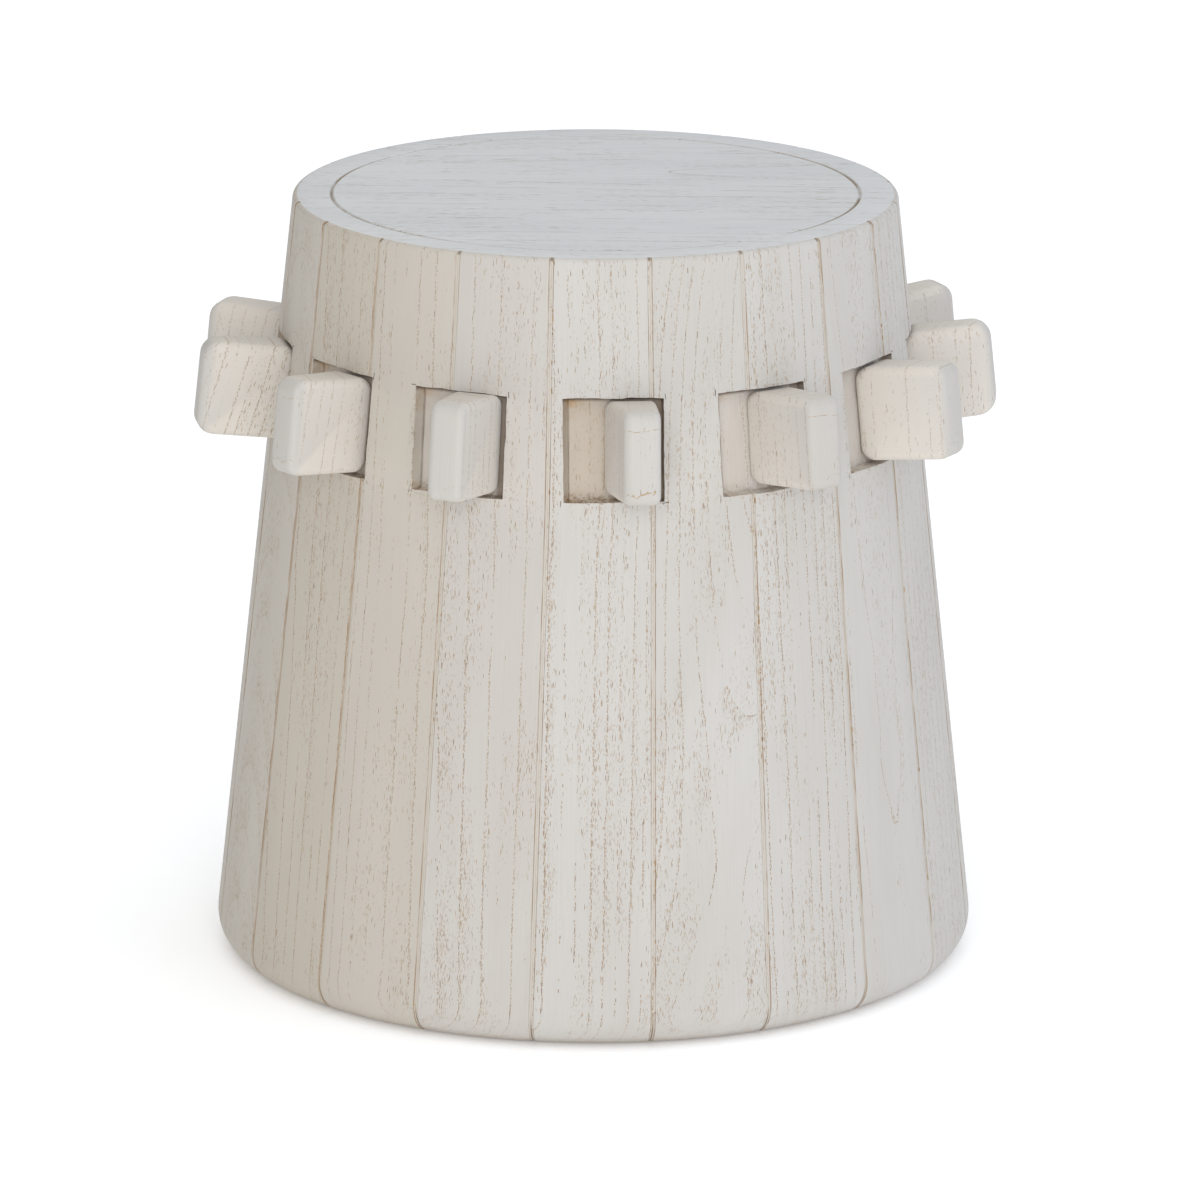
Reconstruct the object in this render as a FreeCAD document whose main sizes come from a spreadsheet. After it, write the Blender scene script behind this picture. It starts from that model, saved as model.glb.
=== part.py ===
import FreeCAD, Part
import math
import os
import Sketcher

# A coopered drum stool. Upright staves are glued into a truncated cone, a round seat panel is let
# into the top inside a plain ring, and a row of square mortises runs round the drum below the rim.
# An upright block stands out of each mortise, set to one side of it and held by a loose tenon.
# Millimetres and degrees. +Z is up, the origin is on the axis at the floor and the front is at -Y.
# Angles round the drum are counted from the front, turning from -Y towards +X.

driving_sizes = {
    # Drum
    "stool_height": 457.0,
    "rim_radius": 177.8,  # flank at the top
    "foot_radius": 227.7,  # flank carried down to the floor, before the foot is rounded
    "foot_round": 20.0,
    "rim_bevel": 1.6,
    # Staves
    "stave_count": 20,
    "stave_wall": 32.0,  # measured level in the middle of a stave, whose inner face is flat
    "front_stave_angle": 1.0,
    "seam_bevel": 1.2,
    "seam_overrun": 5.0,  # how far the groove's cutter stands above the rim
    # Seat panel
    "ring_width": 22.6,  # top of the staves left round the seat
    "seat_thickness": 20.0,
    "seat_bevel": 1.3,
    "seat_clearance": 0.3,
    # Splines, the loose tongues across the seams
    "spline_width": 20.0,
    "spline_thickness": 6.0,
    "spline_start": 24.0,  # along the stave, from the floor
    "spline_length": 276.0,
    "spline_clearance": 0.15,
    # Mortises, measured at the flank
    "mortise_count": 13,
    "front_mortise_angle": 3.2,
    "mortise_level": 348.0,
    "mortise_width": 59.4,
    "mortise_height": 60.5,
    "mortise_depth": 8.0,
    "mortise_draft": 10.0,
    "mortise_overrun": 12.0,  # how far the cutter stands out of the flank
    # Blocks
    "block_root_width": 30.3,
    "block_nose_width": 20.5,
    "block_height": 53.0,
    "block_reach": 48.7,  # out of the flank
    "block_side": 23.9,  # from the middle of the mortise to the block's square cheek
    "block_lift": 1.5,  # above the middle of the mortise
    "block_bevel": 3.0,
    # Loose tenons between the blocks and the staves
    "tenon_thickness": 8.2,
    "tenon_height": 30.0,
    "tenon_inset": 13.75,  # from the block's square cheek to the middle of the tenon
    "tenon_sink": 10.0,  # into the staves, from the mortise floor
    "tenon_reach": 24.0,  # into the block, from the mortise floor
    "tenon_clearance": 0.15,
    "glue_room": 1.0,  # left at each end of a tenon
}

# Expressions that several pieces share
flank_lean = "atan((Sizes.foot_radius - Sizes.rim_radius) / Sizes.stool_height)"
stave_angle = "360 / Sizes.stave_count"
recess_radius = "Sizes.rim_radius - Sizes.ring_width"
mortise_radius = (
    "Sizes.foot_radius"
    " - (Sizes.foot_radius - Sizes.rim_radius) * Sizes.mortise_level / Sizes.stool_height"
)

doc = FreeCAD.newDocument("DrumStool")


def add_sheet():
    sheet = doc.addObject("Spreadsheet::Sheet", "Sizes")
    for row, (alias, value) in enumerate(driving_sizes.items(), 1):
        sheet.set(f"A{row}", alias)
        sheet.set(f"B{row}", str(value))
        sheet.setAlias(f"B{row}", alias)
    doc.recompute()
    return sheet


def station(angle, radius, level):
    # A frame on the drum: X along the drum's girth, Y square into the flank, Z up the flank.
    turn = f"placement(vector(0; 0; 0); rotationz({angle}))"
    lean = f"placement(vector(0; -({radius}); {level}); rotationx(-{flank_lean}))"
    return f"{turn} * {lean}"


def stave_turn(index):
    # The blank of a stave is drawn at +X, a quarter turn from the front.
    angle = f"Sizes.front_stave_angle + {index} * {stave_angle} - 90"
    return f"placement(vector(0; 0; 0); rotationz({angle}))"


def seam_station(index, inset):
    angle = f"Sizes.front_stave_angle + ({index}) * {stave_angle}"
    return station(angle, f"Sizes.foot_radius - {inset}", "0")


def mortise_station(index):
    angle = f"Sizes.front_mortise_angle + {index} * 360 / Sizes.mortise_count"
    return station(angle, mortise_radius, "Sizes.mortise_level")


def add_bound(kind, name, bindings):
    item = doc.addObject(kind, name)
    for prop, expression in bindings.items():
        item.setExpression(prop, expression)
    return item


def add_group(kind, name, prop, members):
    group = doc.addObject(kind, name)
    setattr(group, prop, members)
    return group


def add_copies(source, places):
    copies = []
    for number, place in enumerate(places, 1):
        copy = add_bound("App::Link", f"{source.Name}Copy{number:02d}", {"Placement": place})
        copy.LinkedObject = source
        copy.LinkTransform = True
        copies.append(copy)
    return copies


def add_cut(name, base, tool):
    cut = doc.addObject("Part::Cut", name.title().replace("_", ""))
    cut.Label = name
    cut.Base = base
    cut.Tool = tool
    return cut


def add_sketch(body, role, name):
    sketch = body.newObject("Sketcher::SketchObject", name)
    plane = next(item for item in body.Origin.OriginFeatures if item.Role == role)
    sketch.AttachmentSupport = [(plane, "")]
    sketch.MapMode = "FlatFace"
    return sketch


def dimension(sketch, name, expression, kind, *places):
    # The first value only starts the solver: the expression sets the size.
    start = FreeCAD.Units.Quantity(str(sketch.evalExpression(expression))).Value
    index = sketch.addConstraint(Sketcher.Constraint(kind, *places, start))
    sketch.renameConstraint(index, name)
    sketch.setExpression(f"Constraints.{name}", expression)


def line(start, end):
    return Part.LineSegment(FreeCAD.Vector(*start, 0), FreeCAD.Vector(*end, 0))


def arc(centre, radius, start_angle, end_angle):
    circle = Part.Circle(FreeCAD.Vector(*centre, 0), FreeCAD.Vector(0, 0, 1), radius)
    return Part.ArcOfCircle(circle, start_angle, end_angle)


def on_arc(centre, radius, angle):
    return (centre[0] + radius * math.cos(angle), centre[1] + radius * math.sin(angle))


def draw_stave_section(sketch, sheet):
    # Radius across, height up: floor, rounded foot, flank, bevelled rim, ring, recess, ledge, axis.
    height = sheet.stool_height
    lean = math.atan((sheet.foot_radius - sheet.rim_radius) / height)
    foot_run = sheet.foot_round / math.tan(math.pi / 4 - lean / 2)
    foot_centre = (sheet.foot_radius - foot_run, sheet.foot_round)
    flank_start = on_arc(foot_centre, sheet.foot_round, lean)
    flank_end = (sheet.rim_radius + sheet.rim_bevel * math.tan(lean), height - sheet.rim_bevel)
    rim_top = (sheet.rim_radius - sheet.rim_bevel, height)
    recess = sheet.rim_radius - sheet.ring_width
    ledge_height = height - sheet.seat_thickness
    ring_edge = (recess + sheet.seat_bevel, height)
    recess_top = (recess, height - sheet.seat_bevel)
    recess_foot = (recess, ledge_height)

    floor = sketch.addGeometry(line((0, 0), (foot_centre[0], 0)))
    foot = sketch.addGeometry(arc(foot_centre, sheet.foot_round, -math.pi / 2, lean))
    flank = sketch.addGeometry(line(flank_start, flank_end))
    rim = sketch.addGeometry(line(flank_end, rim_top))
    ring = sketch.addGeometry(line(rim_top, ring_edge))
    bevel = sketch.addGeometry(line(ring_edge, recess_top))
    wall = sketch.addGeometry(line(recess_top, recess_foot))
    ledge = sketch.addGeometry(line(recess_foot, (0, ledge_height)))
    axis = sketch.addGeometry(line((0, ledge_height), (0, 0)))
    cone = sketch.addGeometry(line((sheet.foot_radius, 0), (sheet.rim_radius, height)), True)

    origin, start, end = -1, 1, 2
    for first, second in [(floor, foot), (foot, flank)]:
        sketch.addConstraint(Sketcher.Constraint("Tangent", first, end, second, start))
    corners = [flank, rim, ring, bevel, wall, ledge, axis, floor]
    for first, second in zip(corners, corners[1:]):
        sketch.addConstraint(Sketcher.Constraint("Coincident", first, end, second, start))
    for level in (floor, ring, ledge):
        sketch.addConstraint(Sketcher.Constraint("Horizontal", level))
    for upright in (wall, axis):
        sketch.addConstraint(Sketcher.Constraint("Vertical", upright))
    sketch.addConstraint(Sketcher.Constraint("PointOnObject", flank, start, cone))
    sketch.addConstraint(Sketcher.Constraint("PointOnObject", flank, end, cone))
    sketch.addConstraint(Sketcher.Constraint("Coincident", floor, start, origin, start))
    sketch.addConstraint(Sketcher.Constraint("PointOnObject", cone, start, origin))

    dimension(sketch, "foot_radius", "Sizes.foot_radius", "DistanceX", origin, start, cone, start)
    dimension(sketch, "rim_radius", "Sizes.rim_radius", "DistanceX", origin, start, cone, end)
    dimension(sketch, "cone_height", "Sizes.stool_height", "DistanceY", origin, start, cone, end)
    dimension(sketch, "foot_round", "Sizes.foot_round", "Radius", foot)
    dimension(sketch, "rim_across", "Sizes.rim_bevel", "DistanceX", rim, end, cone, end)
    dimension(sketch, "rim_down", "Sizes.rim_bevel", "DistanceY", flank, end, cone, end)
    dimension(sketch, "ring_height", "Sizes.stool_height", "DistanceY", origin, start, ring, end)
    dimension(sketch, "recess_radius", recess_radius, "DistanceX", origin, start, wall, end)
    dimension(sketch, "bevel_across", "Sizes.seat_bevel", "DistanceX", bevel, end, bevel, start)
    dimension(sketch, "bevel_down", "Sizes.seat_bevel", "DistanceY", bevel, end, bevel, start)
    dimension(sketch, "recess_depth", "Sizes.seat_thickness", "DistanceY", wall, end, ring, end)


def draw_inner_side(sketch, sheet):
    # Everything between the axis and the flat inner face, which leans as the flank does.
    foot = (sheet.foot_radius - sheet.stave_wall, 0)
    rim = (sheet.rim_radius - sheet.stave_wall, sheet.stool_height)
    floor = sketch.addGeometry(line((0, 0), foot))
    inner = sketch.addGeometry(line(foot, rim))
    top = sketch.addGeometry(line(rim, (0, sheet.stool_height)))
    axis = sketch.addGeometry(line((0, sheet.stool_height), (0, 0)))

    origin, start, end = -1, 1, 2
    for first, second in [(floor, inner), (inner, top), (top, axis), (axis, floor)]:
        sketch.addConstraint(Sketcher.Constraint("Coincident", first, end, second, start))
    for level in (floor, top):
        sketch.addConstraint(Sketcher.Constraint("Horizontal", level))
    sketch.addConstraint(Sketcher.Constraint("Vertical", axis))
    sketch.addConstraint(Sketcher.Constraint("Coincident", floor, start, origin, start))
    foot_radius = "Sizes.foot_radius - Sizes.stave_wall"
    rim_radius = "Sizes.rim_radius - Sizes.stave_wall"
    dimension(sketch, "foot_radius", foot_radius, "DistanceX", floor, start, floor, end)
    dimension(sketch, "rim_radius", rim_radius, "DistanceX", top, end, top, start)
    dimension(sketch, "height", "Sizes.stool_height", "DistanceY", axis, end, axis, start)


def add_stave_blank(sheet):
    # One sector of the turned drum, its middle at +X, planed flat inside.
    body = doc.addObject("PartDesign::Body", "StaveBlank")
    sketch = add_sketch(body, "XZ_Plane", "StaveSection")
    draw_stave_section(sketch, sheet)
    sector = body.newObject("PartDesign::Revolution", "StaveSector")
    sector.Profile = sketch
    sector.ReferenceAxis = (sketch, ["V_Axis"])
    sector.Midplane = True
    sector.setExpression("Angle", stave_angle)
    inner_sketch = add_sketch(body, "XZ_Plane", "InnerSide")
    draw_inner_side(inner_sketch, sheet)
    flat = body.newObject("PartDesign::Pocket", "InnerFlat")
    flat.Profile = inner_sketch
    flat.Type = "ThroughAll"
    flat.SideType = "Symmetric"
    body.Tip = flat
    return body


def add_seam_groove():
    # A square bar on its corner along the flank cuts the V of a seam, and runs out on the rounded foot.
    groove = add_bound("Part::Prism", "SeamGroove", {
        "Circumradius": "Sizes.seam_bevel",
        "Height": f"Sizes.stool_height / cos({flank_lean}) + Sizes.seam_overrun",
    })
    groove.Polygon = 4
    return groove


def add_spline(name, clearance):
    # A straight tongue across a seam, in the frame of that seam.
    return add_bound("Part::Box", name, {
        "Length": f"Sizes.spline_width + 2 * {clearance}",
        "Width": f"Sizes.spline_thickness + 2 * {clearance}",
        "Height": f"Sizes.spline_length + 2 * {clearance}",
    })


def spline_places(seams, clearance):
    # Halfway through the wall, across the seam and along the stave.
    across = f"-Sizes.spline_width / 2 - {clearance}"
    through = f"-Sizes.spline_thickness / 2 - {clearance}"
    along = f"Sizes.spline_start - {clearance}"
    offset = f"placement(vector({across}; {through}; {along}); rotationx(0))"
    return [f"{seam_station(seam, 'Sizes.stave_wall / 2')} * {offset}" for seam in seams]


def add_mortise_space():
    # A flat-floored pocket square to the flank, its walls drafted outwards, in the mortise's frame.
    spread = "Sizes.mortise_overrun * tan(Sizes.mortise_draft)"
    shrink = "Sizes.mortise_depth * tan(Sizes.mortise_draft)"
    half_width = "Sizes.mortise_width / 2"
    half_height = "Sizes.mortise_height / 2"
    return add_bound("Part::Wedge", "MortiseSpace", {
        "Ymin": "-Sizes.mortise_overrun",
        "Ymax": "Sizes.mortise_depth",
        "Xmin": f"-{half_width} - {spread}",
        "Xmax": f"{half_width} + {spread}",
        "Zmin": f"-{half_height} - {spread}",
        "Zmax": f"{half_height} + {spread}",
        "X2min": f"-{half_width} + {shrink}",
        "X2max": f"{half_width} - {shrink}",
        "Z2min": f"-{half_height} + {shrink}",
        "Z2max": f"{half_height} - {shrink}",
    })


def add_tenon(name, clearance, end_room):
    # A flat bar square to the mortise floor, partly in the staves and partly in the block.
    across = f"Sizes.block_side - Sizes.tenon_inset - Sizes.tenon_thickness / 2 - {clearance}"
    outer_end = f"Sizes.mortise_depth - Sizes.tenon_reach - {end_room}"
    low = f"Sizes.block_lift - Sizes.tenon_height / 2 - {clearance}"
    return add_bound("Part::Box", name, {
        "Length": f"Sizes.tenon_thickness + 2 * {clearance}",
        "Width": f"Sizes.tenon_sink + Sizes.tenon_reach + 2 * {end_room}",
        "Height": f"Sizes.tenon_height + 2 * {clearance}",
        "Placement": f"placement(vector({across}; {outer_end}; {low}); rotationx(0))",
    })


def draw_block_plan(sketch, sheet):
    # The block seen from above: one cheek square to the mortise floor, the other slanted to a thinner nose.
    depth, nose_end = sheet.mortise_depth, -sheet.block_reach
    root_corner = (-sheet.block_root_width, depth)
    nose_corner = (-sheet.block_nose_width, nose_end)
    root = sketch.addGeometry(line((0, depth), root_corner))
    slant = sketch.addGeometry(line(root_corner, nose_corner))
    nose = sketch.addGeometry(line(nose_corner, (0, nose_end)))
    square = sketch.addGeometry(line((0, nose_end), (0, depth)))

    origin, start, end = -1, 1, 2
    outline = [root, slant, nose, square]
    for first, second in zip(outline, outline[1:] + outline[:1]):
        sketch.addConstraint(Sketcher.Constraint("Coincident", first, end, second, start))
    for level in (root, nose):
        sketch.addConstraint(Sketcher.Constraint("Horizontal", level))
    sketch.addConstraint(Sketcher.Constraint("Vertical", square))
    sketch.addConstraint(Sketcher.Constraint("PointOnObject", square, start, -2))
    dimension(sketch, "root_width", "Sizes.block_root_width", "DistanceX", root, end, root, start)
    dimension(sketch, "nose_width", "Sizes.block_nose_width", "DistanceX", nose, start, nose, end)
    dimension(sketch, "root", "Sizes.mortise_depth", "DistanceY", origin, start, square, end)
    dimension(sketch, "reach", "Sizes.block_reach", "DistanceY", square, start, origin, start)


def add_block_blank(sheet):
    # A wedge with every edge eased by a bevel.
    body = doc.addObject("PartDesign::Body", "BlockBlank")
    sketch = add_sketch(body, "XY_Plane", "BlockPlan")
    draw_block_plan(sketch, sheet)
    pad = body.newObject("PartDesign::Pad", "BlockPad")
    pad.Profile = sketch
    pad.SideType = "Symmetric"
    pad.setExpression("Length", "Sizes.block_height")
    doc.recompute()
    bevels = body.newObject("PartDesign::Chamfer", "BlockBevels")
    bevels.Base = (pad, [f"Edge{number}" for number in range(1, len(pad.Shape.Edges) + 1)])
    bevels.setExpression("Size", "Sizes.block_bevel")
    body.Tip = bevels
    return body


def add_seat_panel(sheet):
    # A turned disc with a bevelled top edge, resting on the ledge and flush with the ring.
    body = doc.addObject("PartDesign::Body", "SeatPanel")
    sketch = add_sketch(body, "XZ_Plane", "SeatSection")
    radius = sheet.rim_radius - sheet.ring_width - sheet.seat_clearance
    high = sheet.stool_height
    low = high - sheet.seat_thickness
    bevel_foot = (radius, high - sheet.seat_bevel)
    bevel_top = (radius - sheet.seat_bevel, high)
    under = sketch.addGeometry(line((0, low), (radius, low)))
    edge = sketch.addGeometry(line((radius, low), bevel_foot))
    bevel = sketch.addGeometry(line(bevel_foot, bevel_top))
    top = sketch.addGeometry(line(bevel_top, (0, high)))
    middle = sketch.addGeometry(line((0, high), (0, low)))

    origin, start, end = -1, 1, 2
    outline = [under, edge, bevel, top, middle]
    for first, second in zip(outline, outline[1:] + outline[:1]):
        sketch.addConstraint(Sketcher.Constraint("Coincident", first, end, second, start))
    for level in (under, top):
        sketch.addConstraint(Sketcher.Constraint("Horizontal", level))
    for upright in (edge, middle):
        sketch.addConstraint(Sketcher.Constraint("Vertical", upright))
    sketch.addConstraint(Sketcher.Constraint("PointOnObject", middle, start, -2))
    seat_radius = f"{recess_radius} - Sizes.seat_clearance"
    dimension(sketch, "seat_radius", seat_radius, "DistanceX", origin, start, edge, start)
    dimension(sketch, "bevel_across", "Sizes.seat_bevel", "DistanceX", bevel, end, bevel, start)
    dimension(sketch, "bevel_down", "Sizes.seat_bevel", "DistanceY", bevel, start, bevel, end)
    dimension(sketch, "top_height", "Sizes.stool_height", "DistanceY", origin, start, top, end)
    dimension(sketch, "thickness", "Sizes.seat_thickness", "DistanceY", middle, end, middle, start)

    disc = body.newObject("PartDesign::Revolution", "SeatDisc")
    disc.Profile = sketch
    disc.ReferenceAxis = (sketch, ["V_Axis"])
    disc.Angle = 360
    body.Tip = disc
    body.Label = "seat_panel"
    return body


def build(sheet):
    staves = range(int(sheet.stave_count))
    mortises = range(int(sheet.mortise_count))
    seams = [stave + 0.5 for stave in staves]
    mortise_places = [mortise_station(mortise) for mortise in mortises]
    block_offset = "placement(vector(Sizes.block_side; 0; Sizes.block_lift); rotationx(0))"
    block_places = [f"{place} * {block_offset}" for place in mortise_places]

    # What is cut away
    socket = add_tenon("Socket", "Sizes.tenon_clearance", "Sizes.glue_room")
    mortise = add_group("Part::MultiFuse", "Mortise", "Shapes", [add_mortise_space(), socket])
    groove = add_spline("SplineGroove", "Sizes.spline_clearance")
    stave_cuts = add_copies(mortise, mortise_places)
    stave_cuts += add_copies(groove, spline_places(seams, "Sizes.spline_clearance"))
    stave_cuts += add_copies(add_seam_groove(), [seam_station(seam, "0") for seam in seams])
    stave_cut = add_group("Part::Compound", "StaveCuts", "Links", stave_cuts)

    # The pieces
    stave_blanks = add_copies(add_stave_blank(sheet), [stave_turn(stave) for stave in staves])
    pieces = [
        add_cut(f"stave_{number:02d}", blank, stave_cut) for number, blank in enumerate(stave_blanks, 1)
    ]
    block_blanks = add_copies(add_block_blank(sheet), block_places)
    block_sockets = add_copies(socket, mortise_places)
    pieces += [
        add_cut(f"block_{number:02d}", blank, cavity)
        for number, (blank, cavity) in enumerate(zip(block_blanks, block_sockets), 1)
    ]
    pieces.append(add_seat_panel(sheet))
    splines = add_copies(add_spline("Spline", "0"), spline_places(seams, "0"))
    spline_group = add_group("Part::Compound", "Splines", "Links", splines)
    spline_group.Label = "stave_splines"
    tenons = add_copies(add_tenon("Tenon", "0", "0"), mortise_places)
    tenon_group = add_group("Part::Compound", "Tenons", "Links", tenons)
    tenon_group.Label = "block_tenons"
    return pieces + [spline_group, tenon_group]


def check(pieces):
    failed = [item.Label for item in doc.Objects if {"Invalid", "Error"} & set(item.State)]
    if failed:
        raise RuntimeError(f"These objects failed to compute: {failed}")
    for piece in pieces:
        if piece.Shape.isNull() or not piece.Shape.isValid() or not piece.Shape.Solids:
            raise RuntimeError(f"{piece.Label} has no valid solid")


def write(pieces):
    os.makedirs("parts", exist_ok=True)
    for piece in pieces:
        piece.Shape.exportStep(os.path.join("parts", f"{piece.Label}.step"))
        litres = piece.Shape.Volume / 1e6
        print(f"{piece.Label}: {len(piece.Shape.Solids)} solids, {litres:.3f} litres")


stool_pieces = build(add_sheet())
doc.recompute()
check(stool_pieces)
write(stool_pieces)
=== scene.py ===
import bmesh
import bpy
import math
import random
from mathutils import Matrix, Vector, noise


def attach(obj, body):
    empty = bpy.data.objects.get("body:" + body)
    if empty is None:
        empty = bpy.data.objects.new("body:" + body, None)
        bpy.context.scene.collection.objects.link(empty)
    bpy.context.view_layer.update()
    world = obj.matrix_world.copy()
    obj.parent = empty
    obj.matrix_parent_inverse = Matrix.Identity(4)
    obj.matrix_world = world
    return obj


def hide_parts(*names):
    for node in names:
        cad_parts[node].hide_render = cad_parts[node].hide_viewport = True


# A whitewashed drum stool: staves with hand-cut mortises, a ring of wedge blocks and a let-in seat.
# Metres, +Z up, front at -Y. Angles round the drum go from the front towards +X.

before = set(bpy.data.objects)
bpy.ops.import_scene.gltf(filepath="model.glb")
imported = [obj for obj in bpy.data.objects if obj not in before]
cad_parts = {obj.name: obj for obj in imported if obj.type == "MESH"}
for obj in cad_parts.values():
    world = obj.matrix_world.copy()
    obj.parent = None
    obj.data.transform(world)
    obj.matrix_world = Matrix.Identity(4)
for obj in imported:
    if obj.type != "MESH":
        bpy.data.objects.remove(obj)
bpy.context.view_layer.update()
print("frame loaded:", len(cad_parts), "nodes")

drum = {
    "height": 0.457,
    "rimRadius": 0.1778,
    "footRadius": 0.2277,
    "footRound": 0.020,
    "rimRound": 0.0024,
    "ringWidth": 0.0226,
    "wall": 0.032,
    "seatThickness": 0.020,
    "seatBevel": 0.0013,
    "seatGap": 0.00002,
}
lean = math.atan((drum["footRadius"] - drum["rimRadius"]) / drum["height"])
recessRadius = drum["rimRadius"] - drum["ringWidth"]
ledgeHeight = drum["height"] - drum["seatThickness"]


def flankRadius(level):
    return drum["footRadius"] - (drum["footRadius"] - drum["rimRadius"]) * level / drum["height"]


def turnOf(row, index):
    # the angle of one stave or mortise round the drum
    return math.radians(row["frontAngle"] + index * 360 / row["count"])


def outwardAt(angle):
    return Vector((math.sin(angle), -math.cos(angle), 0))


def girthAt(angle):
    return Vector((math.cos(angle), math.sin(angle), 0))


# Shader maths

class Wire:
    # A socket that adds Math nodes when it is used in an expression.
    def __init__(self, shader, socket):
        self.shader = shader
        self.socket = socket

    def math(self, operation, *others):
        return self.shader.math(operation, self, *others)

    def __add__(self, other):
        return self.math("ADD", other)

    def __radd__(self, other):
        return self.math("ADD", other)

    def __sub__(self, other):
        return self.math("SUBTRACT", other)

    def __rsub__(self, other):
        return self.shader.math("SUBTRACT", other, self)

    def __mul__(self, other):
        return self.math("MULTIPLY", other)

    def __rmul__(self, other):
        return self.math("MULTIPLY", other)

    def __truediv__(self, other):
        return self.math("DIVIDE", other)

    def __lt__(self, other):
        return self.math("LESS_THAN", other)

    def __gt__(self, other):
        return self.math("GREATER_THAN", other)

    def __abs__(self):
        return self.math("ABSOLUTE")

    def low(self, other):
        return self.math("MINIMUM", other)

    def high(self, other):
        return self.math("MAXIMUM", other)

    def step(self, start, end):
        # 0 before start, 1 after end, smooth between
        return self.shader.node(
            "ShaderNodeMapRange", {"interpolation_type": "SMOOTHSTEP"},
            {"Value": self, "From Min": start, "From Max": end, "To Min": 0.0, "To Max": 1.0})

    def fade(self, start, end):
        # 1 before start, 0 after end
        return 1 - self.step(start, end)

    def span(self, least, most):
        # 0 to 1 becomes least to most
        return least + (most - least) * self


class Shader:
    def __init__(self, tree):
        self.tree = tree

    def node(self, kind, settings, sockets, output=0):
        item = self.tree.nodes.new(kind)
        for key, value in settings.items():
            setattr(item, key, value)
        self.fill(item, sockets)
        return Wire(self, item.outputs[output])

    def fill(self, item, sockets):
        for key, value in sockets.items():
            if isinstance(value, Wire):
                self.tree.links.new(value.socket, item.inputs[key])
            else:
                item.inputs[key].default_value = value

    def math(self, operation, *values):
        return self.node("ShaderNodeMath", {"operation": operation}, dict(enumerate(values)))

    def vector(self, operation, *values):
        return self.node("ShaderNodeVectorMath", {"operation": operation}, dict(enumerate(values)))

    def place(self):
        return self.node("ShaderNodeTexCoord", {}, {}, "Object")

    def attribute(self, name):
        return self.node("ShaderNodeAttribute", {"attribute_name": name}, {}, "Vector")

    def split(self, vector):
        item = self.node("ShaderNodeSeparateXYZ", {}, {"Vector": vector}).socket.node
        return [Wire(self, socket) for socket in item.outputs]

    def numbers(self, name):
        # the three numbers of an attribute
        return self.split(self.attribute(name))

    def join(self, x, y, z):
        return self.node("ShaderNodeCombineXYZ", {}, {"X": x, "Y": y, "Z": z})

    def noise(self, vector, scale, detail, rough=0.5):
        return self.node("ShaderNodeTexNoise", {}, {
            "Vector": vector, "Scale": scale, "Detail": detail, "Roughness": rough})

    def stretched(self, vector, scales, detail):
        # noise with a scale of its own in each direction
        return self.noise(self.vector("MULTIPLY", vector, scales), 1.0, detail)

    def waver(self, along):
        # noise along one line
        return self.node("ShaderNodeTexNoise", {"noise_dimensions": "1D"}, {
            "W": along, "Scale": 1.0, "Detail": 2.0})

    def lots(self, number):
        # three random numbers that belong to one number
        settings = {"noise_dimensions": "1D"}
        return self.split(self.node("ShaderNodeTexWhiteNoise", settings, {"W": number}, "Color"))

    def cells(self, across, along):
        # distance to the nearest cell's point, and that cell's own random numbers
        sockets = {"Vector": self.join(across, along, 0.0), "Scale": 1.0}
        distance = self.node("ShaderNodeTexVoronoi", {"voronoi_dimensions": "2D"}, sockets)
        return distance, self.split(Wire(self, distance.socket.node.outputs["Color"]))

    def mix(self, factor, first, second):
        # inputs 6 and 7 and output 2 are the node's colours
        return self.node("ShaderNodeMix", {"data_type": "RGBA"}, {0: factor, 6: first, 7: second}, 2)

    def bump(self, height, distance, strength):
        sockets = {"Height": height, "Distance": distance, "Strength": strength}
        return self.node("ShaderNodeBump", {}, sockets)


def newMaterial(name):
    material = bpy.data.materials.new(name)
    material.use_nodes = True
    return material, Shader(material.node_tree), material.node_tree.nodes["Principled BSDF"]


def shade(red, green, blue):
    # an sRGB colour, 0 to 255, as a linear one
    linear = []
    for part in (red, green, blue):
        part /= 255
        linear.append(part / 12.92 if part <= 0.04045 else ((part + 0.055) / 1.055) ** 2.4)
    return (*linear, 1.0)


# Wood

# Pairs are limits: where a mark fades, or its least and most
wood = {
    "patchScale": (40.0, 40.0, 7.0),  # fields of loose pores
    "patchEdge": (0.40, 0.58),
    "cloudScale": (22.0, 22.0, 5.0),  # soft changes of tone
    "cloudEdge": (0.3, 0.7),
    "cloudRough": 0.12,
    "fibreAcross": 900,
    "fibreAlong": 18,
    "fibreEdge": (0.4, 0.75),
    "fibreRelief": 0.2,
    "poreReach": 0.42,  # share of its cell that a pore fills
    "poreSizes": (0.45, 1.0),
    "poreEdge": (0.6, 1.0),
    "poreTones": (0.65, 1.0),
    "poreTint": (0.2, 0.9),
    "poreRough": 0.1,
    "crowding": (0.15, 1.0),  # loose pores just before a ring and just after it
    "stringing": (0.35, 1.0),  # strings in a board without pores and in a porous one
    "dashesOnString": 0.35,
    "specksOnString": 0.5,
    "speckShare": 0.68,
    "speckShift": 0.5,
    "speckStrength": 0.85,
    "reliefDepth": 0.00015,
    "gloss": 0.3,
    "leastSteep": 0.09,
    "steepFloor": 0.0010,
}

# Lines of growth rings, and the strokes along them
rings = {
    "sway": 0.0030,
    "swayRate": 7,
    "start": 0.4,  # where a line lies in its gap, and how far that strays
    "stray": 0.2,
    "driftRate": 14,  # how soon a line comes and goes
    "driftShare": 0.8,
    "luckShare": 0.5,
    "shown": (0.46, 0.82),
    "stretch": 3.0,  # strokes are drawn out here and packed there
    "stretchRate": 0.21,
    "strokeLengths": (0.25, 0.52),
    "strokeSide": (0.4, 1.0),
    "strokeEnd": (0.7, 1.0),
    "strokeChance": 0.95,
    "nearEdge": (0.25, 1.0),
}

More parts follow.
